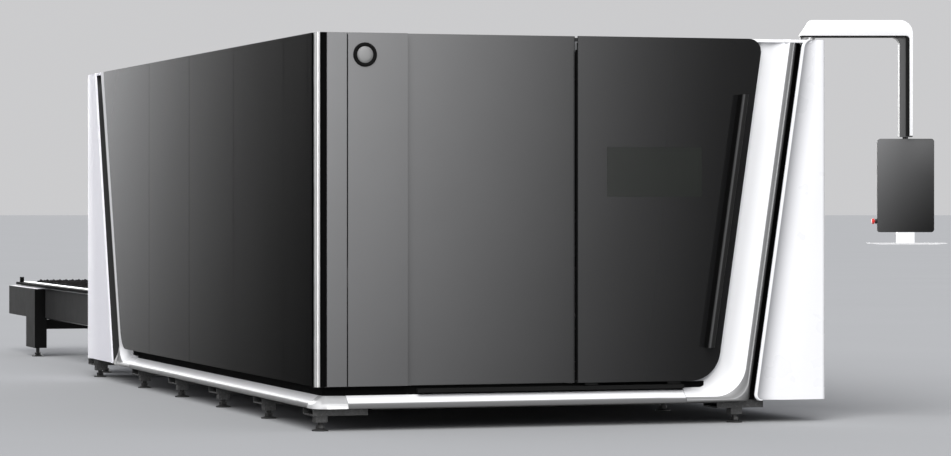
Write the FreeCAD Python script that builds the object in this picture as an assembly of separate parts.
import FreeCAD, Part
import math
import os

# Fiber laser cutting machine with an enclosed cabin and a two-pallet exchange table, in millimetres.
# While it is drawn, X runs along the cabin's front from its left corner, Y runs back along its
# left side and Z is up from the floor. The finished parts are then moved so that the origin is
# the centre of the whole machine's footprint, on the floor.

V = FreeCAD.Vector

# ---- Cabin ----
cabin_width = 3120.0
cabin_length = 6690.0
cabin_height = 2260.0
panel_bottom = 255.0      # height of the lower edge of every wall panel
panel_depth = 25.0        # depth of a folded panel
sheet = 3.0               # sheet-metal thickness of panels
seam = 8.0                # open joint between neighbouring panels
post_size = 60.0          # square tube of the cabin's skeleton
rear_count = 3            # casings above the pallet port
roof_count = 5
roof_drop = 5.0           # the roof lies this much below the walls' top edge
tube_wall = 4.0

# Left side: seams measured along Y
corner_end = 107.0
left_corner_seam = 200.0
left_first_seam = 744.0
left_last_seam = cabin_length - 2232.0
left_count = 3            # equal panels between the first and last seams
left_pitch = (left_last_seam - left_first_seam) / left_count
left_edge_top = cabin_length - 651.0    # far edge of the last panel, at the top
left_lean = 0.323         # how far that edge leans back per unit of height
left_corner_radius = 190.0

# Front: seams measured along X
strip_radius = 18.0       # bright rod on the corner
corner_black_end = 58.0
front_corner_seam = 181.0
front_badge_seam = 541.0
door_seam = 1560.0
front_depth = 51.0        # depth of the front's fixed casings
fixed_recess = 36.0       # the door slides in front of the recessed panel

# ---- Sliding door ----
door_edge_top = 2717.0
front_lean = 0.1465       # lean of the door's right edge and everything parallel to it
door_top_radius = 75.0
door_bottom_radius = 185.0
door_depth = 12.0
door_sheet = 2.0
door_travel = 930.0
door_ring = 48.0          # width of the door's stiffening ring
window = (1742.0, 2332.0, 1330.0, 1620.0)
window_gap = 0.5
glass_thickness = 6.0
gasket_width = 22.0
gasket_depth = 5.0
handle_top = (2560.0, 1930.0)
handle_bottom_z = 450.0
handle_web = 14.0
handle_standoff = 66.0
grip_width = 34.0
grip_depth = 22.0
door_rail_z = cabin_height - 60.0
door_rail_height = 30.0
door_rail_depth = 16.0
guide_clearance = 0.3
guide_length = 80.0
track_web = 212.0         # the lower track lies in the shadow gap under the door
track_height = 24.0
track_span = (14.0, 46.0)
track_sheet = 3.0
roller_radius = (track_span[1] - track_span[0]) / 2 - track_sheet - guide_clearance
roller_height = 16.0

# ---- Skirt and sweeps ----
skirt_recess = 55.0       # depth of the shadow gap under the panels
skirt_lip = 15.0          # how far the lower lip stands out of the panel plane
skirt_sheet = 4.0
skirt_wall_top = 251.0
skirt_slope_top = 200.0
skirt_rim = 158.0
skirt_bottom = 130.0
skirt_corner_centre = 75.0
skirt_corner_front = 184.0
skirt_corner_left = 150.0
skirt_front_end = 2232.0
skirt_left_end = cabin_length - 1610.0
arc_steps = 9
front_band_width = 170.0
front_lip_width = 57.0
left_lip_width = 26.0
left_lip_reach = cabin_length - 1010.0
left_band_width = 100.0
left_rim_lean = 0.3356

# ---- Corner columns ----
column_bottom = 134.0
column_depth = 56.0
column_sheet = 4.0
cap_height = 18.0         # white bridge across the top of each groove
liner_reach = 30.0        # how far the grooves' backing runs in behind a column
front_column_top = 2973.0
front_column_side = 400.0
rear_column_top = cabin_length - 375.0
rear_column_foot = cabin_length - 1000.0
rear_column_back = 205.0

# ---- Badge ----
badge_centre = (284.0, cabin_height - 125.0)
badge_radius = 69.0
badge_face_radius = 57.0
badge_depth = 8.0

# ---- Base frame, outriggers and feet ----
base_bottom = 168.0
base_top = 252.0
base_outer = skirt_recess + 10.0
base_cross = 120.0        # width of the cross tubes over the foot rows
bed_outer = 148.0
bed_inner = 228.0
bed_top = 820.0
bed_wall = 10.0
bed_start = 420.0
bed_end = cabin_length - 90.0
sill_thickness = 6.0
outrigger_bottom = 88.0
outrigger_reach = (-4.0, 320.0)
outrigger_right = (2453.0, 2745.0)
outrigger_before = 35.0
outrigger_after = 185.0
outrigger_wall = 8.0
foot_x = 50.0
foot_right_x = 2580.0
foot_first = 100.0
foot_count = 5            # equally spaced rows, before the rear one
foot_pitch = (cabin_length - 1870.0 - foot_first) / (foot_count - 1)
foot_last = cabin_length - 290.0
pad_radius = 47.0
pad_height = 14.0
stud_radius = 15.0
nut_height = 18.0
nut_radius = 25.0
jack_width = 70.0
jack_height = 38.0
foot_clearance = 0.3

# ---- Pallets ----
pallet_length = 4100.0
pallet_end = cabin_length + 270.0 + pallet_length
pallet_travel = 5600.0
pallet_level = 586.0      # underside of the upper pallet's flange
level_step = 190.0        # the lower pallet runs this much lower
flange_thickness = 20.0
flange_inner = 345.0
flange_outer_upper = 235.0
flange_outer_lower = 285.0
pallet_web = 12.0
pallet_web_drop = 70.0
cross_height = 50.0
cross_width = 40.0
cross_count = 6
wheel_radius = 25.0
wheel_width = 24.0
wheel_drop = 40.0
wheel_count = 4
wheel_clearance = 0.3
axle_radius = 8.0
rail_thickness = 10.0
rail_reach = 331.0
holder_x = 420.0
holder_thickness = 8.0
holder_height = 40.0
slat_thickness = 4.0
slat_clearance = 0.5
slat_height = 42.0
slat_overhang = 8.0
slat_pitch = 175.0
tooth_pitch = 56.0
tooth_depth = 20.0
stop_width = 30.0
stop_height = 45.0
port_headroom = 143.0     # room over the bars for a sheet passing through the port
port_sill = 20.0          # room under the lower pallet's web in the port

# ---- Exchange table ----
table_start = cabin_length - 70.0
table_end = table_start + 4420.0
table_plate = (260.0, 272.0)
table_plate_bottom = 330.0
table_plate_top = 575.0
table_cap_height = 6.0
table_cap = (240.0, 281.0)
table_box_outer = 170.0
leg_length = 410.0
leg_rear = table_end - 1250.0
leg_front = table_start + 280.0
leg_bottom = 75.0
table_cross = (230.0, 310.0)

# ---- Gantry, carriage and head ----
gantry_rest = 1500.0
gantry_low = -750.0
gantry_high = 4300.0
gantry_beam = (130.0, 960.0, 1240.0)   # end X, bottom, top
gantry_width = 320.0
gantry_wall = 12.0
bed_rail_width = 30.0
bed_rail_height = 28.0
running_gap = 0.3
gantry_block = (110.0, 400.0)          # width across the rail, length along it
beam_rail_width = 24.0
beam_rail_depth = 20.0
beam_rail_inset = 45.0
carriage_width = 240.0
carriage_plate = 20.0
carriage_travel = 1050.0
head_down = 290.0
head_up = 50.0
head_width = 120.0
head_depth = 110.0
head_bottom = 905.0
head_top = 1260.0
nozzle_tip = 775.0
nozzle_radius = 16.0
collet_radius = 34.0
slide_plate = 18.0

# ---- Console arm, in its own frame: a along the arm, b away from the operator ----
arm_turn = -17.72
arm_pivot = (cabin_width - 82.0, 85.0)
arm_underside = cabin_height + 17.0
arm_liner = 8.0
arm_top = arm_underside + 101.0
arm_start = -50.0
arm_slope = 62.0
arm_end = 620.0
arm_width = 100.0
arm_outer_radius = 78.0
arm_inner_radius = 45.0
drop_shell = 20.0
drop_liner = 20.0
drop_pole = 38.0
drop_pole_width = 70.0
drop_bottom = arm_underside - 585.0
pivot_radius = 45.0
pivot_gap = 0.4
console_width = 337.0
console_top = drop_bottom - 16.0
console_bottom = console_top - 555.0
console_depth = 46.0
console_radius = 18.0
screen_thickness = 4.0
swivel_radius = 17.0
bracket_width = 101.0
bracket_depth = 60.0
bracket_cap = 20.0
tray_top = console_bottom - 63.0
tray_thickness = 8.0
tray_width = 456.0
tray_depth = 190.0
stop_button_z = console_bottom + 65.0
stop_button_radius = 16.0
stop_button_height = 15.0
stop_collar_radius = 14.0
stop_collar_height = 12.0
stop_button_travel = 4.0


def box(x0, x1, y0, y1, z0, z1):
    return Part.makeBox(x1 - x0, y1 - y0, z1 - z0, V(x0, y0, z0))


def tube_x(x0, x1, y0, y1, z0, z1, wall):
    """Rectangular tube along X, open at both ends."""
    bore = box(x0 - 1, x1 + 1, y0 + wall, y1 - wall, z0 + wall, z1 - wall)
    return box(x0, x1, y0, y1, z0, z1).cut(bore)


def tube_y(x0, x1, y0, y1, z0, z1, wall):
    """Rectangular tube along Y, open at both ends."""
    bore = box(x0 + wall, x1 - wall, y0 - 1, y1 + 1, z0 + wall, z1 - wall)
    return box(x0, x1, y0, y1, z0, z1).cut(bore)


def tube_z(x0, x1, y0, y1, z0, z1, wall):
    """Rectangular tube along Z, open at both ends."""
    bore = box(x0 + wall, x1 - wall, y0 + wall, y1 - wall, z0 - 1, z1 + 1)
    return box(x0, x1, y0, y1, z0, z1).cut(bore)


def cylinder(radius, height, base, axis):
    return Part.makeCylinder(radius, height, base, axis)


def on_front(along, height, out):
    """A place on the front: along X, height, and how far it stands out of the panel plane."""
    return V(along, -out, height)


def on_left(along, height, out):
    """A place on the left side: along Y, height, and how far it stands out."""
    return V(-out, along, height)


def mirrored(shape):
    """The same piece on the other side of the cabin's middle plane."""
    return shape.mirror(V(cabin_width / 2, 0, 0), V(1, 0, 0))


def inset(points, distance):
    """A convex outline, run anticlockwise, moved inwards by a distance on every edge."""
    count = len(points)
    lines = []
    for i in range(count):
        (x0, y0), (x1, y1) = points[i], points[(i + 1) % count]
        length = math.hypot(x1 - x0, y1 - y0)
        dx, dy = (x1 - x0) / length, (y1 - y0) / length
        lines.append((x0 - dy * distance, y0 + dx * distance, dx, dy))
    result = []
    for i in range(count):
        ax, ay, adx, ady = lines[i - 1]
        bx, by, bdx, bdy = lines[i]
        cross = adx * bdy - ady * bdx
        step = ((bx - ax) * bdy - (by - ay) * bdx) / cross
        result.append((ax + adx * step, ay + ady * step))
    return result


def rounded_face(points, radii, place, out):
    """Face of an outline whose corners have the given radii, at a distance out of the wall."""
    corners = []
    count = len(points)
    for i in range(count):
        here = V(points[i][0], points[i][1], 0)
        before = V(points[i - 1][0], points[i - 1][1], 0) - here
        after = V(points[(i + 1) % count][0], points[(i + 1) % count][1], 0) - here
        if radii[i] <= 0:
            corners.append((here, None, here))
            continue
        before.normalize()
        after.normalize()
        half = before.getAngle(after) / 2
        reach = radii[i] / math.tan(half)
        middle = before + after
        middle.normalize()
        centre = here + middle * (radii[i] / math.sin(half))
        corners.append((here + before * reach, centre - middle * radii[i], here + after * reach))
    edges = []
    for i in range(count):
        start, mid, end = corners[i]
        if mid is not None:
            ends = [place(point.x, point.y, out) for point in (start, mid, end)]
            edges.append(Part.Arc(*ends).toShape())
        following = corners[(i + 1) % count][0]
        edges.append(Part.makeLine(place(end.x, end.y, out), place(following.x, following.y, out)))
    return Part.Face(Part.Wire(edges))


def plate(points, radii, place, out, depth):
    """Flat plate of an outline, from a distance out of the wall inwards through its depth."""
    travel = place(0, 0, -depth) - place(0, 0, 0)
    return rounded_face(points, radii, place, out).extrude(travel)


def casing(points, radii, place, out, depth, wall):
    """Folded sheet casing: a front skin with a return flange on every edge, open behind."""
    inner = [max(radius - wall, 0) for radius in radii]
    hollow = plate(inset(points, wall), inner, place, out - wall, depth)
    return plate(points, radii, place, out, depth).cut(hollow)


def rectangle(u0, u1, v0, v1):
    return [(u0, v0), (u1, v0), (u1, v1), (u0, v1)]


def left_casing(y0, y1, z0, z1, depth):
    return casing(rectangle(y0, y1, z0, z1), [0] * 4, on_left, 0, depth, sheet)


def front_casing(x0, x1, z0, z1, out, depth):
    return casing(rectangle(x0, x1, z0, z1), [0] * 4, on_front, out, depth, sheet)


# ---- Skirt and sweeps ----
def edge_path(start, level, top_along, lean, radius):
    """An edge that runs level, turns up through an arc and leans away to the top."""
    base = top_along - (cabin_height - level) * lean
    turn = math.pi / 2 - math.atan(lean)
    centre = base - radius * math.tan(turn / 2)
    points = [(start, level)]
    for i in range(arc_steps):
        angle = turn * i / (arc_steps - 1)
        points.append((centre + radius * math.sin(angle), level + radius - radius * math.cos(angle)))
    points.append((top_along, cabin_height))
    return points


def section_points(wall_end, slope_end, rim, lip_end, rise):
    """Outer line of the skirt's section. rise is 0 on the level skirt and 1 up the side."""
    bulge = 0.9 * rise
    line = [(wall_end, -skirt_recess), (slope_end, -skirt_recess)]
    for t in (0.75, 0.5, 0.25):
        depth = -skirt_recess * (t + bulge * t * (1 - t))
        line.append((between(rim, slope_end, t), depth))
    line.append((rim, 0.0))
    line.append((between(rim, lip_end, 0.3), skirt_lip * (1 - 0.7 * rise)))
    line.append((lip_end, skirt_lip * (1 - 2.4 * rise)))
    return line


def between(start, end, share):
    return tuple(a + (b - a) * share for a, b in zip(start, end))


def section_wire(line, place):
    outer = [place(along, height, out) for (along, height), out in line]
    inner = [place(along, height, out - skirt_sheet) for (along, height), out in line]
    loop = outer + inner[::-1]
    return Part.makePolygon(loop + [loop[0]])


def skirt_line(along):
    return section_points((along, skirt_wall_top), (along, skirt_slope_top), (along, skirt_rim),
                          (along, skirt_bottom), 0)


def straight_skirt(start, end, place):
    face = Part.Face(section_wire(skirt_line(start), place))
    return face.extrude(place(end, 0, 0) - place(start, 0, 0))


def corner_skirt():
    """Rounded corner piece, with a short straight run on each side."""
    face = Part.Face(section_wire(skirt_line(skirt_corner_centre), on_left))
    turned = face.revolve(V(skirt_corner_centre, skirt_corner_centre, 0), V(0, 0, 1), 90)
    along_front = straight_skirt(skirt_corner_centre, skirt_corner_front, on_front)
    along_left = straight_skirt(skirt_corner_centre, skirt_corner_left, on_left)
    return turned.fuse([along_front, along_left]).removeSplitter()


def sweep(wall_ends, slope_ends, rims, lip_ends, place):
    """One pressed piece that carries the skirt's section round the corner and up the side."""
    wires = []
    last = len(rims) - 2
    for i in range(len(rims)):
        rise = min(max((i - 1) / (last - 1), 0), 1)
        line = section_points(wall_ends[i], slope_ends[i], rims[i], lip_ends[i], rise)
        wires.append(section_wire(line, place))
    shape = Part.makeLoft(wires, True, True)
    if shape.Volume < 0:
        shape.reverse()
    return shape


def front_rim_top():
    return door_edge_top + front_band_width + 6


def front_sweep():
    start = skirt_front_end + 1
    rim_top = front_rim_top()
    walls = edge_path(start, skirt_wall_top, door_edge_top - 22, front_lean, door_bottom_radius)
    slopes = edge_path(start, skirt_slope_top, door_edge_top + 8, front_lean, 205)
    rims = edge_path(start, skirt_rim, rim_top, front_lean, 200)
    lips = edge_path(start, skirt_bottom, rim_top + front_lip_width, front_lean, 45)
    return sweep(walls, slopes, rims, lips, on_front)


def left_sweep():
    start = skirt_left_end + 1
    rim_top = left_edge_top + left_band_width
    walls = edge_path(start, skirt_wall_top, left_edge_top - 18, left_lean, left_corner_radius)
    slopes = edge_path(start, skirt_slope_top, left_edge_top + 10, left_lean, 190)
    rims = edge_path(start, skirt_rim, rim_top, left_rim_lean, 170)
    lips = left_lips(start, rim_top + left_lip_width)
    return sweep(walls, slopes, rims, lips, on_left)


def left_lips(start, top_along):
    """The lip runs on level to the column's foot, then turns back up to the leaning edge."""
    knee = (left_lip_reach, skirt_bottom + 20)
    joint_height = skirt_rim + 120
    joint = (top_along - (cabin_height - joint_height) * left_rim_lean, joint_height)
    points = [(start, skirt_bottom)]
    for i in range(arc_steps):
        share = i / (arc_steps - 1)
        if share < 0.3:
            points.append(between((left_lip_reach - 90, skirt_bottom), knee, share / 0.3))
        else:
            points.append(between(knee, joint, (share - 0.3) / 0.7))
    points.append((top_along, cabin_height))
    return points


def groove_liners():
    """Dark backing sheets in the grooves between the sweeps and the columns."""
    top = cabin_height - cap_height - 1
    low = skirt_bottom + 6
    rim = front_rim_top() + 40
    foot = (top - low) * front_lean
    behind = front_column_top + liner_reach
    front = [(rim - foot, low), (behind - foot, low), (behind, top), (rim, top)]
    near = left_edge_top + left_band_width
    low = skirt_rim + 12
    far_lean = (rear_column_top - rear_column_foot) / (cabin_height - column_bottom)
    behind = rear_column_top + liner_reach
    side = [(near - (top - low) * left_rim_lean, low), (behind - (top - low) * far_lean, low),
            (behind, top), (near, top)]
    left = plate(side, [0] * 4, on_left, -column_depth, sheet)
    return [plate(front, [0] * 4, on_front, -column_depth, sheet), left, mirrored(left)]


# ---- Columns ----
def front_column():
    """Wide white corner casing: front skin with a leaning left edge and a deep right return."""
    foot = front_column_top - (cabin_height - column_bottom) * front_lean
    outline = [(foot, column_bottom), (cabin_width, column_bottom), (cabin_width, cabin_height),
               (front_column_top, cabin_height)]
    face = casing(outline, [60, 0, 0, 30], on_front, 0, column_depth, column_sheet)
    side = box(cabin_width - column_sheet, cabin_width, column_sheet, front_column_side,
               column_bottom, cabin_height)
    cap = box(front_column_top + 45, cabin_width, column_depth, front_column_side,
              cabin_height - column_sheet, cabin_height)
    edge = box(cabin_width - panel_depth, cabin_width, front_column_side - column_sheet, front_column_side,
               column_bottom, cabin_height)
    lip = front_rim_top() + front_lip_width + 1
    bridge = box(lip, front_column_top + 35, 0, column_depth, cabin_height - cap_height, cabin_height)
    return face.fuse([side, cap, edge, bridge]).removeSplitter()


def rear_column():
    """Wide white casing at the rear left corner, with a return across the back."""
    outline = [(rear_column_foot, column_bottom), (cabin_length, column_bottom),
               (cabin_length, cabin_height), (rear_column_top, cabin_height)]
    face = casing(outline, [30, 0, 0, 20], on_left, 0, column_depth, column_sheet)
    back = box(column_sheet, rear_column_back, cabin_length - column_sheet, cabin_length,
               column_bottom, cabin_height)
    edge = box(rear_column_back - column_sheet, rear_column_back, cabin_length - panel_depth, cabin_length,
               column_bottom, cabin_height)
    lip = left_edge_top + left_band_width + left_lip_width + 1
    cap = box(0, column_depth, lip, rear_column_top + 25, cabin_height - cap_height, cabin_height)
    return face.fuse([back, edge, cap]).removeSplitter()


# ---- Walls ----
def corner_trim():
    place = V(strip_radius / 4, strip_radius / 4, panel_bottom)
    return cylinder(strip_radius, cabin_height - panel_bottom, place, V(0, 0, 1))


def corner_post():
    """Black corner casing behind the bright rod."""
    front = box(strip_radius / 2, corner_black_end, strip_radius / 2, front_depth, panel_bottom, cabin_height)
    side = box(strip_radius / 2, panel_depth, front_depth, corner_end, panel_bottom, cabin_height)
    groove = cylinder(strip_radius + 0.3, cabin_height, V(strip_radius / 4, strip_radius / 4, 0), V(0, 0, 1))
    return front.fuse(side).removeSplitter().cut(groove)


def left_seams():
    seams = [corner_end - seam / 2, left_corner_seam, left_first_seam]
    return seams + [left_first_seam + left_pitch * (i + 1) for i in range(left_count)]


def left_panels():
    """Wall casings of the left side, front to back; the last has a leaning, rounded far edge."""
    seams = left_seams()
    panels = []
    for near, far in zip(seams, seams[1:]):
        panels.append(left_casing(near + seam / 2, far - seam / 2, panel_bottom, cabin_height, panel_depth))
    foot = left_edge_top - (cabin_height - panel_bottom) * left_lean
    near = seams[-1] + seam / 2
    outline = [(near, panel_bottom), (foot, panel_bottom), (left_edge_top, cabin_height), (near, cabin_height)]
    panels.append(casing(outline, [0, left_corner_radius, 0, 0], on_left, 0, panel_depth, sheet))
    return panels


def right_panels():
    """Plain wall casings of the right side, behind the front column."""
    panels = [mirrored(panel) for panel in left_panels()[2:]]
    first = left_casing(front_column_side + seam, left_first_seam - seam / 2, panel_bottom, cabin_height,
                        panel_depth)
    return [mirrored(first)] + panels


def rear_casing(x0, x1, z0, z1):
    shell = box(x0, x1, cabin_length - panel_depth, cabin_length, z0, z1)
    hollow = box(x0 + sheet, x1 - sheet, cabin_length - panel_depth - 1, cabin_length - sheet,
                 z0 + sheet, z1 - sheet)
    return shell.cut(hollow)


def rear_panels():
    """Three casings above the pallet port and a sill below it."""
    start, end = rear_column_back + seam, cabin_width - rear_column_back - seam
    width = (end - start + seam) / rear_count
    panels = [rear_casing(start + i * width, start + (i + 1) * width - seam, port_top(), cabin_height)
              for i in range(rear_count)]
    return panels + [rear_casing(start, end, column_bottom, port_bottom())]


def port_top():
    return pallet_level + flange_thickness + slat_height + port_headroom


def port_bottom():
    return pallet_level - level_step - pallet_web_drop - port_sill


def roof_seams():
    """Front edge of each roof casing, and the end of the last."""
    start, end = front_depth + post_size, cabin_length - panel_depth - roof_drop
    pitch = (end - start + seam) / roof_count
    return [start + i * pitch for i in range(roof_count + 1)]


def roof_panels():
    """Five casings across the roof; the last is narrower between the sweeps and rear columns."""
    seams = roof_seams()
    edge = panel_depth + 2
    panels = []
    for near, far in zip(seams, seams[1:]):
        panel = box(edge, cabin_width - edge, near, far - seam, roof_bottom(), cabin_height - roof_drop)
        hollow = box(edge + sheet, cabin_width - edge - sheet, near + sheet, far - seam - sheet,
                     roof_bottom() - 1, cabin_height - roof_drop - sheet)
        panels.append(panel.cut(hollow))
    notch = box(0, frame_line() + 1, left_edge_top - 30, cabin_length, roof_bottom() - 1, cabin_height)
    panels[-1] = panels[-1].cut(Part.makeCompound([notch, mirrored(notch)]))
    return panels


def roof_bottom():
    return cabin_height - roof_drop - panel_depth


def frame_line():
    """Depth behind the panel plane at which the frame clears the skirts and sweeps."""
    return skirt_recess + skirt_sheet


def leaning_jamb(edge_top, lean, place):
    """Flat post behind a leaning sweep, from the base to the top rail."""
    low, high = base_top, roof_bottom() - post_size
    top = edge_top - (cabin_height - high) * lean
    foot = edge_top - (cabin_height - low) * lean
    outline = [(foot, low), (foot + post_size, low), (top + post_size, high), (top, high)]
    return plate(outline, [0] * 4, place, -frame_line(), post_size - 8)


def skeleton():
    """Square-tube posts behind the seams, leaning jambs, top rails and roof cross tubes."""
    low, high = base_top, roof_bottom() - post_size
    outer, inner = frame_line(), frame_line() + post_size
    tubes = []
    for y in [left_first_seam + left_pitch * i for i in range(left_count + 1)]:
        post = tube_z(panel_depth, panel_depth + post_size, y - post_size / 2, y + post_size / 2, low, high,
                      tube_wall)
        tubes += [post, mirrored(post)]
    jamb = leaning_jamb(left_edge_top - 14, left_lean, on_left)
    rail = tube_y(outer, inner, front_depth + post_size, bed_end, high, roof_bottom(), tube_wall)
    tubes += [jamb, mirrored(jamb), rail, mirrored(rail)]
    for near in roof_seams()[1:-1]:
        y = near - seam / 2
        tubes.append(tube_x(inner, cabin_width - inner, y - post_size / 2, y + post_size / 2, high,
                            roof_bottom(), tube_wall))
    return tubes


def front_frame():
    """Door frame: upright posts, header and the leaning jamb behind the sweep."""
    low, high = base_top, roof_bottom() - post_size
    far = front_depth + post_size
    parts = []
    for x in (panel_depth, front_badge_seam - post_size / 2, door_seam - post_size):
        parts.append(tube_z(x, x + post_size, front_depth, far, low, high, tube_wall))
    right = cabin_width - column_sheet
    parts.append(tube_z(right - post_size, right, frame_line(), far, low, high, tube_wall))
    parts.append(tube_x(panel_depth, cabin_width - panel_depth, frame_line(), far, high, roof_bottom(),
                        tube_wall))
    parts.append(leaning_jamb(door_edge_top - 17, front_lean, on_front))
    return parts


def port_frame():
    """Rear frame round the pallet port."""
    near, far = bed_end, cabin_length - panel_depth
    high = roof_bottom() - post_size
    side = tube_z(bed_inner - 70, bed_inner - 3, near, far, base_bottom, high, tube_wall)
    lintel = tube_x(bed_inner - 3, cabin_width - bed_inner + 3, near, far, port_top(), port_top() + post_size,
                    tube_wall)
    header = tube_x(frame_line(), cabin_width - frame_line(), near, far, high, roof_bottom(), tube_wall)
    return [side, mirrored(side), lintel, header]


# ---- Door ----
def door_outline():
    foot = door_edge_top - (cabin_height - panel_bottom) * front_lean
    return [(door_seam + seam / 2, panel_bottom), (foot, panel_bottom), (door_edge_top, cabin_height),
            (door_seam + seam / 2, cabin_height)]


def door_panel():
    radii = [0, door_bottom_radius, door_top_radius, 0]
    skin = casing(door_outline(), radii, on_front, 0, door_depth, door_sheet)
    x0, x1, z0, z1 = window
    return skin.cut(box(x0, x1, -1, door_depth + 1, z0, z1))


def door_frame():
    """Stiffening ring behind the skin, which carries the rail and the brackets."""
    radii = [0, door_bottom_radius, door_top_radius, 0]
    outer = [max(radius - door_sheet, 0) for radius in radii]
    inner = [max(radius - door_ring, 0) for radius in radii]
    depth = door_depth - door_sheet
    ring = plate(inset(door_outline(), door_sheet), outer, on_front, -door_sheet, depth)
    return ring.cut(plate(inset(door_outline(), door_ring), inner, on_front, -door_sheet + 1, depth + 2))


def door_window():
    x0, x1, z0, z1 = window
    return box(x0 + window_gap, x1 - window_gap, 0, glass_thickness, z0 + window_gap, z1 - window_gap)


def window_gasket():
    """Rubber frame behind the pane, between the glass and the door skin."""
    x0, x1, z0, z1 = window
    g = gasket_width
    outer = box(x0 - g, x1 + g, glass_thickness, glass_thickness + gasket_depth, z0 - g, z1 + g)
    collar = box(x0 - g, x1 + g, door_sheet, glass_thickness, z0 - g, z1 + g)
    collar = collar.cut(box(x0, x1, 0, door_depth, z0, z1))
    inside = box(x0 + g, x1 - g, 0, door_depth, z0 + g, z1 - g)
    return outer.cut(inside).fuse(collar).removeSplitter()


def leaning_bar(left_top, width, out, depth):
    """Bar parallel to the door's leaning edge; left_top is its upper left corner."""
    drop = handle_top[1] - handle_bottom_z
    left_foot = left_top - drop * front_lean
    outline = [(left_foot, handle_bottom_z), (left_foot + width, handle_bottom_z),
               (left_top + width, handle_top[1]), (left_top, handle_top[1])]
    return plate(outline, [0] * 4, on_front, out, depth)


def door_handle():
    return leaning_bar(handle_top[0], handle_web, handle_standoff, handle_standoff)


def handle_grip():
    bar = leaning_bar(handle_top[0], grip_width, handle_standoff + grip_depth, grip_depth)
    long_edges = [edge for edge in bar.Edges if edge.Length > handle_top[1] - handle_bottom_z]
    return bar.makeFillet(grip_depth / 4, long_edges)


def door_rail():
    return box(door_seam + 12, door_edge_top - 75, door_depth, door_depth + door_rail_depth,
               door_rail_z - door_rail_height / 2, door_rail_z + door_rail_height / 2)


def door_guides():
    """Two fixed blocks on the header that hold the door's rail."""
    blocks = []
    inner = door_rail_height / 2 + guide_clearance
    near, far = door_depth + 2, frame_line()
    floor = door_depth + door_rail_depth + guide_clearance
    for i in range(2):
        start = door_seam + 16 + i * (guide_length + 20)
        block = box(start, start + guide_length, near, far, door_rail_z - inner - 8, door_rail_z + inner + 8)
        groove = box(start - 1, start + guide_length + 1, near - 1, floor, door_rail_z - inner,
                     door_rail_z + inner)
        blocks.append(block.cut(groove))
    return blocks


def door_track():
    """Channel in the shadow gap that guides the door's lower rollers."""
    start, end = front_badge_seam + 60, skirt_front_end - 6
    low, high = track_web + track_sheet, track_web + track_height
    web = box(start, end, track_span[0], skirt_recess, track_web, low)
    near = box(start, end, track_span[0], track_span[0] + track_sheet, low, high)
    far = box(start, end, track_span[1] - track_sheet, track_span[1], low, high)
    return web.fuse([near, far]).removeSplitter()


def roller_places():
    return [door_seam + 90, skirt_front_end - 70]


def door_brackets():
    """Angle brackets on the door's back that reach over the track, each with its pin."""
    brackets = []
    level = track_web + track_height + 4
    middle = sum(track_span) / 2
    for x in roller_places():
        upright = box(x - 40, x + 40, door_depth, door_depth + 3, level, panel_bottom + 50)
        foot = box(x - 40, x + 40, door_depth, middle + 10, level, level + 3)
        pin = cylinder(4, level - track_web - 5, V(x, middle, track_web + 5), V(0, 0, 1))
        brackets.append(upright.fuse([foot, pin]).removeSplitter())
    return brackets


def door_rollers():
    rollers = []
    middle = sum(track_span) / 2
    for x in roller_places():
        disc = cylinder(roller_radius, roller_height, V(x, middle, track_web + 6), V(0, 0, 1))
        rollers.append(disc.cut(cylinder(4.05, 40, V(x, middle, track_web), V(0, 0, 1))))
    return rollers


# ---- Badge ----
def badge_ring():
    x, z = badge_centre
    ring = cylinder(badge_radius, badge_depth, V(x, -badge_depth, z), V(0, 1, 0))
    return ring.cut(cylinder(badge_face_radius, badge_depth * 3, V(x, -badge_depth * 2, z), V(0, 1, 0)))


def badge_face():
    x, z = badge_centre
    return cylinder(badge_face_radius - 0.3, badge_depth - 2, V(x, -badge_depth + 2, z), V(0, 1, 0))


# ---- Base ----
def foot_rows():
    return [foot_first + foot_pitch * i for i in range(foot_count)] + [foot_last]


def base_frame():
    """Long rails under the side walls, front and rear rails and a cross tube over each foot row."""
    rail = tube_y(base_outer, bed_outer, base_outer, cabin_length - base_outer, base_bottom, base_top,
                  tube_wall)
    right_end = cabin_width - bed_outer
    front = tube_x(bed_outer, right_end, base_outer, bed_outer, base_bottom, base_top, tube_wall)
    rear = tube_x(bed_outer, right_end, bed_end, cabin_length - base_outer, base_bottom, base_top, tube_wall)
    parts = [rail, mirrored(rail), front, rear.cut(Part.makeCompound(port_frame()[:2]))]
    for y in foot_rows()[1:]:
        parts.append(tube_x(bed_inner, cabin_width - bed_inner, y, y + base_cross, base_bottom, base_top,
                            tube_wall))
    return parts


def sill_brackets():
    """Angles that carry the skirts from the base rails."""
    inner = skirt_recess + skirt_sheet
    low = skirt_bottom
    blocks = []
    spans = [(y + outrigger_after + 5, after - outrigger_before - 5)
             for y, after in zip(foot_rows(), foot_rows()[1:])]
    for near, far in spans:
        far = min(far, skirt_left_end)
        upright = box(inner, base_outer, near, far, low - sill_thickness, base_top)
        foot = box(0, inner, near, far, low - sill_thickness, low)
        angle = upright.fuse(foot).removeSplitter()
        blocks += [angle, mirrored(angle)]
    start, end = outrigger_reach[1] + 10, outrigger_right[0] - 10
    upright = box(start, end, inner, base_outer, low - sill_thickness, base_top)
    foot = box(start, end, 0, inner, low - sill_thickness, low)
    return blocks + [upright.fuse(foot).removeSplitter()] + corner_packers()


def corner_packers():
    """Packing strips between the base rails and the corner piece of the skirt."""
    near, low, high = base_outer + 20, base_bottom + 4, base_top - 4
    return [box(frame_line(), base_outer, near, skirt_corner_left - 5, low, high),
            box(near, skirt_corner_front - 5, frame_line(), base_outer, low, high)]


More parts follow.
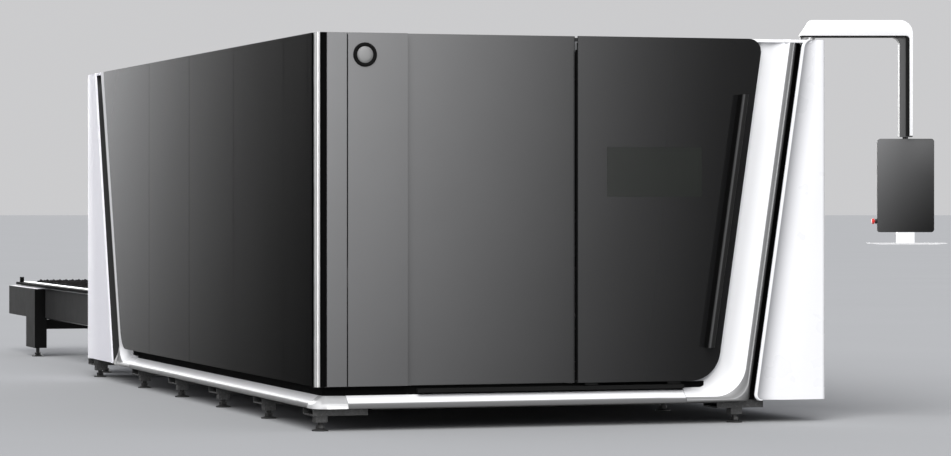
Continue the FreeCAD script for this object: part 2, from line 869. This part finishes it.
def outriggers():
    """Open tubes across each foot row, notched under the skirt's lip on the left."""
    tubes = []
    notch = box(outrigger_reach[0] - 1, frame_line() + 1, 0, cabin_length, skirt_bottom - 0.5, base_bottom + 1)
    for y in foot_rows():
        near, far = max(y - outrigger_before, base_outer), y + outrigger_after
        for low, high in (outrigger_reach, outrigger_right):
            tube = tube_x(low, high, near, far, outrigger_bottom, base_bottom, outrigger_wall)
            tubes.append(tube.cut(notch))
    return tubes


def foot_places():
    """Centre and carried height of each levelling foot."""
    places = []
    for y in foot_rows():
        places += [(foot_x, y + 10, outrigger_bottom), (foot_right_x, y + 10, outrigger_bottom)]
    table_x = (table_box_outer + table_plate[1]) / 2
    for y in (leg_front, leg_rear):
        for x in (table_x, cabin_width - table_x):
            places.append((x, y + leg_length / 3, leg_bottom))
    return places


def foot_pads():
    pads = []
    for x, y, top in foot_places():
        disc = cylinder(pad_radius, pad_height * 0.5, V(x, y, 0), V(0, 0, 1))
        cone = Part.makeCone(pad_radius, stud_radius + 8, pad_height * 0.5, V(x, y, pad_height * 0.5))
        pads.append(disc.fuse(cone).removeSplitter())
    return pads


def foot_studs():
    return [cylinder(stud_radius, top - pad_height, V(x, y, pad_height), V(0, 0, 1))
            for x, y, top in foot_places()]


def foot_nuts():
    nuts = []
    for x, y, top in foot_places():
        corners = [V(x + nut_radius * math.cos(math.radians(60 * i)),
                     y + nut_radius * math.sin(math.radians(60 * i)), pad_height + 1) for i in range(7)]
        nut = Part.Face(Part.makePolygon(corners)).extrude(V(0, 0, nut_height))
        nuts.append(nut.cut(cylinder(stud_radius + foot_clearance, 200, V(x, y, 0), V(0, 0, 1))))
    return nuts


def foot_jacks():
    """Square jack blocks under the outriggers, bored for the studs."""
    blocks = []
    half = jack_width / 2
    for x, y, top in foot_places():
        if top != outrigger_bottom:
            continue
        block = box(x - half, x + half, y - half, y + half, top - jack_height, top)
        blocks.append(block.cut(cylinder(stud_radius + foot_clearance, 200, V(x, y, 0), V(0, 0, 1))))
    return blocks


# ---- Bed ----
def bed_beams():
    beam = tube_y(bed_outer, bed_inner, bed_start, bed_end, base_bottom, bed_top, bed_wall)
    return [beam, mirrored(beam)]


def bed_rails():
    middle = (bed_outer + bed_inner) / 2
    rail = box(middle - bed_rail_width / 2, middle + bed_rail_width / 2, bed_start, bed_end, bed_top,
               bed_top + bed_rail_height)
    return [rail, mirrored(rail)]


def rail_levels():
    top = pallet_level - wheel_drop - wheel_radius - wheel_clearance
    return [top, top - level_step]


def pallet_rails(outer, start, end):
    rails = []
    for top in rail_levels():
        rail = box(outer, rail_reach, start, end, top - rail_thickness, top)
        rails += [rail, mirrored(rail)]
    return rails


def rail_start():
    return pallet_end - pallet_length - pallet_travel - 60


# ---- Exchange table ----
def table_plates():
    side = box(table_plate[0], table_plate[1], table_start, table_end, table_plate_bottom, table_plate_top)
    return [side, mirrored(side)]


def table_boxes():
    """Folded boxes over the rear legs, outside the plates."""
    shell = box(table_box_outer, table_plate[0], leg_rear, table_end, table_plate_bottom, table_plate_top)
    hollow = box(table_box_outer + sheet, table_plate[0] - sheet, leg_rear + sheet, table_end - sheet,
                 table_plate_bottom - 1, table_plate_top - sheet)
    shell = shell.cut(hollow)
    return [shell, mirrored(shell)]


def table_legs():
    legs = []
    for y in (leg_front, leg_rear):
        shell = box(table_box_outer, table_plate[1], y, y + leg_length, leg_bottom, table_plate_bottom)
        hollow = box(table_box_outer + 6, table_plate[1] - 6, y + 6, y + leg_length - 6, leg_bottom + 10,
                     table_plate_bottom - 6)
        leg = shell.cut(hollow)
        legs += [leg, mirrored(leg)]
    return legs


def table_cross_tubes():
    low, high = table_cross
    return [tube_x(table_plate[1], cabin_width - table_plate[1], y + 130, y + 250, low, high, tube_wall)
            for y in (leg_front, leg_rear)]


def table_caps():
    high = table_plate_top + table_cap_height
    cap = box(table_cap[0], table_cap[1], table_start, table_end, table_plate_top, high)
    return [cap, mirrored(cap)]


def table_brackets():
    """Link plates between the port frame and the table's side plates."""
    link = box(bed_inner - 3, table_plate[0], table_start, cabin_length - panel_depth, table_plate_bottom + 40,
               table_plate_top - 40)
    return [link, mirrored(link)]


# ---- Pallets ----
def pallet_frame(level, start, flange_outer):
    """Side beams with inner webs, cross tubes and slotted slat holders."""
    end = start + pallet_length
    web_outer = flange_inner - pallet_web
    flange = box(flange_outer, flange_inner, start, end, level, level + flange_thickness)
    web = box(web_outer, flange_inner, start, end, level - pallet_web_drop, level)
    side = flange.fuse(web).removeSplitter()
    parts = [side, mirrored(side)]
    pitch = (pallet_length - cross_width - 200) / (cross_count - 1)
    low = level - 10 - cross_height
    for i in range(cross_count):
        near = start + 100 + i * pitch
        parts.append(tube_x(flange_inner, cabin_width - flange_inner, near, near + cross_width, low,
                            low + cross_height, tube_wall))
    for x in (holder_x, cabin_width / 2 - holder_thickness / 2, cabin_width - holder_x - holder_thickness):
        holder = box(x, x + holder_thickness, start + 20, end - 20, level - 10, level - 10 + holder_height)
        slots = [box(x - 1, x + holder_thickness + 1, y - slat_clearance, y + slat_thickness + slat_clearance,
                     level, level + holder_height) for y in slat_places(start)]
        parts.append(holder.cut(Part.makeCompound(slots)))
    return parts


def slat_places(start):
    count = int((pallet_length - 120) / slat_pitch) + 1
    first = start + (pallet_length - (count - 1) * slat_pitch) / 2
    return [first + i * slat_pitch for i in range(count)]


def pallet_slats(level, start):
    """Thin serrated bars that the sheet lies on."""
    left, right = holder_x - slat_overhang, cabin_width - holder_x + slat_overhang
    teeth = int((right - left) / tooth_pitch)
    margin = (right - left - teeth * tooth_pitch) / 2
    top = level + slat_height
    outline = [(left, level), (right, level), (right, top - tooth_depth)]
    for i in range(teeth):
        base = right - margin - i * tooth_pitch
        tip = base - tooth_pitch * 0.55
        outline += [(base, top - tooth_depth), (tip, top), (tip - tooth_pitch * 0.2, top)]
    outline += [(left + margin, top - tooth_depth), (left, top - tooth_depth)]
    corners = [V(x, 0, z) for x, z in outline]
    one = Part.Face(Part.makePolygon(corners + [corners[0]])).extrude(V(0, slat_thickness, 0))
    slats = []
    for y in slat_places(start):
        slat = one.copy()
        slat.translate(V(0, y, 0))
        slats.append(slat)
    return slats


def pallet_wheels(level, start):
    wheels = []
    outer = flange_inner - pallet_web
    pitch = (pallet_length - 400) / (wheel_count - 1)
    for i in range(wheel_count):
        centre = V(outer - 2 - wheel_width, start + 200 + i * pitch, level - wheel_drop)
        wheel = cylinder(wheel_radius, wheel_width, centre, V(1, 0, 0))
        hub = cylinder(axle_radius, 2, centre + V(wheel_width, 0, 0), V(1, 0, 0))
        wheel = wheel.fuse(hub).removeSplitter()
        wheels += [wheel, mirrored(wheel)]
    return wheels


def pallet_stops(level, start):
    """Posts on the outer end of the upper pallet's side beams."""
    low = level + flange_thickness
    end = start + pallet_length
    post = box(flange_outer_upper + 10, flange_outer_upper + 10 + stop_width, end - 170, end - 130, low,
               low + stop_height)
    return [post, mirrored(post)]


def pallet_strips(level, start):
    """Bright edge strips on the upper pallet's side beams."""
    low = level + flange_thickness
    strip = box(flange_outer_upper + 50, flange_inner, start, start + pallet_length, low, low + 4)
    return [strip, mirrored(strip)]


# ---- Gantry ----
def gantry_beam_tube():
    end, low, high = gantry_beam
    near, far = gantry_rest, gantry_rest + gantry_width
    return tube_x(end, cabin_width - end, near, far, low, high, gantry_wall)


def gantry_carriages():
    """Bearing blocks that straddle the bed rails, one at each end of the beam."""
    middle = (bed_outer + bed_inner) / 2
    half = gantry_block[0] / 2
    centre = gantry_rest + gantry_width / 2
    near, far = centre - gantry_block[1] / 2, centre + gantry_block[1] / 2
    block = box(middle - half, middle + half, near, far, bed_top + 6, gantry_beam[1])
    groove = box(middle - bed_rail_width / 2 - running_gap, middle + bed_rail_width / 2 + running_gap,
                 near - 1, far + 1, bed_top, bed_top + bed_rail_height + running_gap)
    block = block.cut(groove)
    return [block, mirrored(block)]


def beam_rail_levels():
    return [gantry_beam[1] + beam_rail_inset, gantry_beam[2] - beam_rail_inset - beam_rail_width]


def beam_rails():
    end = gantry_beam[0]
    return [box(end + 20, cabin_width - end - 20, gantry_rest - beam_rail_depth, gantry_rest, z,
                z + beam_rail_width) for z in beam_rail_levels()]


def head_carriage():
    """Plate on four-lip bearings that runs along the beam's rails."""
    middle = cabin_width / 2
    left, right = middle - carriage_width / 2, middle + carriage_width / 2
    back = gantry_rest - 1.5
    low, high = gantry_beam[1] + 10, gantry_beam[2] - 10
    body = box(left, right, gantry_rest - beam_rail_depth - carriage_plate, back, low, high)
    gap = running_gap
    grooves = [box(left - 1, right + 1, gantry_rest - beam_rail_depth - gap, gantry_rest, z - gap,
                   z + beam_rail_width + gap) for z in beam_rail_levels()]
    return body.cut(Part.makeCompound(grooves))


def carriage_front():
    return gantry_rest - beam_rail_depth - carriage_plate


def carriage_guides():
    """Two upright rails on the carriage for the head."""
    middle = cabin_width / 2
    return [box(x - 8, x + 8, carriage_front() - 14, carriage_front(), gantry_beam[1] + 20, gantry_beam[2] - 20)
            for x in (middle - 40, middle + 40)]


def head_slide():
    """Plate that slides on the upright rails and carries the head."""
    middle = cabin_width / 2
    front = carriage_front() - 14 - slide_plate
    body = box(middle - head_width / 2, middle + head_width / 2, front, carriage_front() - 4, head_bottom + 60,
               head_top)
    grooves = [box(x - 8 - running_gap, x + 8 + running_gap, carriage_front() - 14 - running_gap,
                   carriage_front(), head_bottom, head_top + 1) for x in (middle - 40, middle + 40)]
    return body.cut(Part.makeCompound(grooves))


def head_front():
    return carriage_front() - 14 - slide_plate


def head_axis():
    return cabin_width / 2, head_front() - head_depth / 2


def cutting_head():
    """Housing of the laser head with its collimator drum and lower barrel."""
    x, y = head_axis()
    body = box(x - head_width / 2 + 12, x + head_width / 2 - 12, y - head_depth / 2, head_front(), head_bottom,
               head_top - 60)
    body = body.makeFillet(8, [e for e in body.Edges if abs(e.tangentAt(e.FirstParameter).z) > 0.9])
    drum = cylinder(34, 60, V(x, y, head_top - 60), V(0, 0, 1))
    barrel = cylinder(collet_radius, head_bottom - nozzle_tip - 60, V(x, y, nozzle_tip + 60), V(0, 0, 1))
    return body.fuse([drum, barrel]).removeSplitter()


def nozzle():
    x, y = head_axis()
    ring = cylinder(collet_radius - 6, 18, V(x, y, nozzle_tip + 42), V(0, 0, 1))
    cone = Part.makeCone(5, nozzle_radius + 6, 42, V(x, y, nozzle_tip))
    bore = cylinder(1.5, 70, V(x, y, nozzle_tip - 1), V(0, 0, 1))
    return ring.fuse(cone).removeSplitter().cut(bore)


# ---- Console arm ----
def on_arm(shape):
    """Turns a piece drawn along the arm to its parked place over the column."""
    shape.rotate(V(0, 0, 0), V(0, 0, 1), arm_turn)
    shape.translate(V(arm_pivot[0], arm_pivot[1], 0))
    return shape


def arm_face(points, radii, width):
    face = rounded_face(points, radii, lambda along, height, out: V(along, -width / 2, height), 0)
    return face.extrude(V(0, width, 0))


def arm_shell():
    """White folded cover: deep along the top, a thin blade down the outside of the drop."""
    low, blade = arm_underside + arm_liner, arm_end - drop_shell
    outline = [(arm_start, low), (blade, low), (blade, drop_bottom), (arm_end, drop_bottom),
               (arm_end, arm_top), (arm_start + arm_slope, arm_top)]
    return arm_face(outline, [0, arm_inner_radius / 2, 0, 0, arm_outer_radius, 20], arm_width)


def arm_lining():
    """Black edge under the arm and down the inside of the blade."""
    blade = arm_end - drop_shell
    inner = blade - drop_liner
    low = arm_underside
    outline = [(arm_start + 8, low), (inner, low), (inner, drop_bottom), (blade, drop_bottom),
               (blade, low + arm_liner), (arm_start + 8, low + arm_liner)]
    return arm_face(outline, [0, 0, 0, 0, arm_inner_radius / 2, 0], arm_width - 8)


def arm_pole():
    """Dark square tube of the drop, flared into the arm's underside by a rounded gusset."""
    half = drop_pole_width / 2
    inner = arm_end - drop_shell - drop_liner
    near = inner - drop_pole
    pole = box(near, inner, -half, half, drop_bottom, arm_underside)
    gusset = box(near - arm_inner_radius, near, -half, half, arm_underside - arm_inner_radius, arm_underside)
    round_end = V(near - arm_inner_radius, -half - 1, arm_underside - arm_inner_radius)
    gusset = gusset.cut(cylinder(arm_inner_radius, drop_pole_width + 2, round_end, V(0, 1, 0)))
    return pole.fuse(gusset)


def arm_base():
    """Turntable on top of the front column."""
    height = arm_underside - pivot_gap - cabin_height
    return cylinder(pivot_radius, height, V(0, 0, cabin_height), V(0, 0, 1))


def drop_axis():
    return arm_end - (drop_shell + drop_liner + drop_pole) / 2


def drop_foot():
    """Plate that closes the drop and carries the console's swivel."""
    inner = arm_end - drop_shell - drop_liner - drop_pole
    return box(inner, arm_end, -drop_pole_width / 2, drop_pole_width / 2, drop_bottom - 6, drop_bottom)


def console_housing():
    """Case behind the screen with a neck that turns under the drop."""
    middle = drop_axis()
    half = console_width / 2
    outline = rectangle(middle - half, middle + half, console_bottom, console_top)
    face = rounded_face(outline, [console_radius] * 4,
                        lambda along, height, out: V(along, -console_depth / 2 + screen_thickness, height), 0)
    case = face.extrude(V(0, console_depth - screen_thickness, 0))
    neck_height = drop_bottom - 6 - pivot_gap - console_top
    neck = cylinder(swivel_radius, neck_height + 3, V(middle, 4, console_top - 3), V(0, 0, 1))
    return case.fuse(neck).removeSplitter()


def console_screen():
    middle = drop_axis()
    half = console_width / 2
    outline = rectangle(middle - half, middle + half, console_bottom, console_top)
    face = rounded_face(outline, [console_radius] * 4,
                        lambda along, height, out: V(along, -console_depth / 2, height), 0)
    return face.extrude(V(0, screen_thickness, 0))


def tray_bracket():
    middle = drop_axis()
    half = bracket_width / 2
    return box(middle - half, middle + half, -bracket_depth / 2, bracket_depth / 2, tray_top,
               console_bottom - bracket_cap)


def bracket_cap_piece():
    middle = drop_axis()
    half = bracket_width / 2
    return box(middle - half, middle + half, -bracket_depth / 2, bracket_depth / 2,
               console_bottom - bracket_cap, console_bottom)


def keyboard_tray():
    """Thin shelf whose underside tapers to its ends."""
    middle = drop_axis()
    half = tray_width / 2
    low = tray_top - tray_thickness
    outline = [(middle - half, tray_top - 2), (middle - half + 60, low), (middle + half - 60, low),
               (middle + half, tray_top - 2), (middle + half, tray_top), (middle - half, tray_top)]
    face = rounded_face(outline, [0] * 6,
                        lambda along, height, out: V(along, bracket_depth / 2 - tray_depth, height), 0)
    return face.extrude(V(0, tray_depth, 0))


def stop_axis():
    """Start of the emergency stop on the console's left side, and its direction."""
    return V(drop_axis() - console_width / 2, 2, stop_button_z), V(-1, 0, 0)


def stop_collar():
    start, axis = stop_axis()
    collar = cylinder(stop_collar_radius, stop_collar_height, start, axis)
    bore = cylinder(8.5, stop_collar_height - 4, start + axis * 4, axis)
    return collar.cut(bore)


def stop_button():
    """Mushroom head with a stem in the collar."""
    start, axis = stop_axis()
    stem_start = start + axis * (4 + stop_button_travel + 0.3)
    rest = stop_collar_height + stop_button_travel + 0.3
    head = cylinder(stop_button_radius, stop_button_height, start + axis * rest, axis)
    head = head.makeFillet(5, [head.Edges[0]])
    stem = cylinder(8, rest - 4 - stop_button_travel - 0.3, stem_start, axis)
    return head.fuse(stem).removeSplitter()


def upper_start():
    return pallet_end - pallet_length


def lower_start():
    return pallet_end - pallet_length - pallet_travel


def machine_body():
    """Fixed parts: base, bed, cabin and exchange table."""
    parts = {}
    parts["base_frame"] = base_frame() + sill_brackets()
    parts["outriggers"] = outriggers() + foot_jacks()
    parts["foot_studs"] = foot_studs() + foot_nuts()
    parts["foot_pads"] = foot_pads()
    parts["bed_beams"] = bed_beams()
    parts["bed_rails"] = bed_rails()
    parts["pallet_rails"] = (pallet_rails(bed_inner, rail_start(), bed_end - 4)
                             + pallet_rails(table_plate[1], table_start, table_end) + table_caps())
    parts["cabin_frame"] = skeleton() + front_frame() + port_frame()
    parts["roof_panels"] = roof_panels()
    parts["left_panels"] = left_panels()
    parts["right_panels"] = right_panels()
    parts["rear_panels"] = rear_panels()
    parts["corner_post"] = [corner_post()]
    parts["corner_trim"] = [corner_trim()]
    parts["corner_panel"] = [front_casing(corner_black_end + seam / 2, front_corner_seam - seam / 2,
                                          panel_bottom, cabin_height, 0, front_depth)]
    parts["badge_panel"] = [front_casing(front_corner_seam + seam / 2, front_badge_seam - seam / 2,
                                         panel_bottom, cabin_height, 0, front_depth)]
    parts["fixed_panel"] = [front_casing(front_badge_seam + seam / 2, door_seam - seam / 2, panel_bottom,
                                         cabin_height, -fixed_recess, front_depth - fixed_recess)]
    parts["badge"] = [badge_ring(), badge_face()]
    parts["skirt_left"] = [straight_skirt(skirt_corner_left + 1, skirt_left_end, on_left)]
    parts["skirt_corner"] = [corner_skirt()]
    parts["skirt_front"] = [straight_skirt(skirt_corner_front + 1, skirt_front_end, on_front)]
    side_run = straight_skirt(front_column_side + 2, skirt_left_end, on_left)
    parts["skirt_right"] = [mirrored(side_run), mirrored(left_sweep())]
    parts["sweep_front"] = [front_sweep()]
    parts["sweep_left"] = [left_sweep()]
    parts["groove_liners"] = groove_liners()
    parts["column_front"] = [front_column()]
    parts["columns_rear"] = [rear_column(), mirrored(rear_column())]
    parts["door_guides"] = door_guides() + [door_track()]
    parts["table_sides"] = table_plates() + table_boxes()
    parts["table_frame"] = table_legs() + table_cross_tubes() + table_brackets()
    parts["arm_base"] = [on_arm(arm_base())]
    return parts


def door_body():
    parts = {}
    parts["door_panel"] = [door_panel(), door_frame()]
    parts["door_window"] = [door_window()]
    parts["window_gasket"] = [window_gasket()]
    parts["door_handle"] = [door_handle()]
    parts["handle_grip"] = [handle_grip()]
    parts["door_rail"] = [door_rail()] + door_brackets()
    parts["door_rollers"] = door_rollers()
    return parts


def console_bodies():
    """The swinging arm, the console under it and its emergency stop."""
    parts = {}
    parts["arm_shell"] = [arm_shell()]
    parts["arm_lining"] = [arm_lining()]
    parts["arm_pole"] = [arm_pole().fuse(drop_foot()).removeSplitter()]
    parts["console_housing"] = [console_housing()]
    parts["console_screen"] = [console_screen()]
    parts["tray_bracket"] = [tray_bracket(), bracket_cap_piece()]
    parts["keyboard_tray"] = [keyboard_tray()]
    parts["stop_collar"] = [stop_collar()]
    parts["stop_button"] = [stop_button()]
    return {name: [on_arm(shape) for shape in shapes] for name, shapes in parts.items()}


def gantry_bodies():
    """Beam, carriage and head, each on the rails of the one before."""
    parts = {}
    parts["gantry_beam"] = [gantry_beam_tube()] + gantry_carriages()
    parts["beam_rails"] = beam_rails()
    parts["head_carriage"] = [head_carriage()] + carriage_guides()
    parts["head_slide"] = [head_slide()]
    parts["cutting_head"] = [cutting_head()]
    parts["nozzle"] = [nozzle()]
    return parts


def pallet_bodies():
    """The upper pallet waits outside and the lower one inside."""
    upper, lower = pallet_level, pallet_level - level_step
    parts = {}
    parts["upper_pallet_frame"] = (pallet_frame(upper, upper_start(), flange_outer_upper)
                                   + pallet_stops(upper, upper_start()))
    parts["upper_pallet_strips"] = pallet_strips(upper, upper_start())
    parts["upper_pallet_slats"] = pallet_slats(upper, upper_start())
    parts["upper_pallet_wheels"] = pallet_wheels(upper, upper_start())
    parts["lower_pallet_frame"] = pallet_frame(lower, lower_start(), flange_outer_lower)
    parts["lower_pallet_slats"] = pallet_slats(lower, lower_start())
    parts["lower_pallet_wheels"] = pallet_wheels(lower, lower_start())
    return parts


def machine():
    """Every part by name, moved so that the footprint's centre is the origin, and that move."""
    parts = {}
    for group in (machine_body(), door_body(), console_bodies(), gantry_bodies(), pallet_bodies()):
        parts.update(group)
    compounds = {name: Part.makeCompound(shapes) for name, shapes in parts.items()}
    size = Part.makeCompound(list(compounds.values())).BoundBox
    move = V(-(size.XMin + size.XMax) / 2, -(size.YMin + size.YMax) / 2, -size.ZMin)
    for compound in compounds.values():
        compound.translate(move)
    return compounds, move


def main():
    os.makedirs("parts", exist_ok=True)
    compounds, _ = machine()
    for name, compound in compounds.items():
        compound.exportStep(f"parts/{name}.step")


if __name__ == "__main__":
    main()
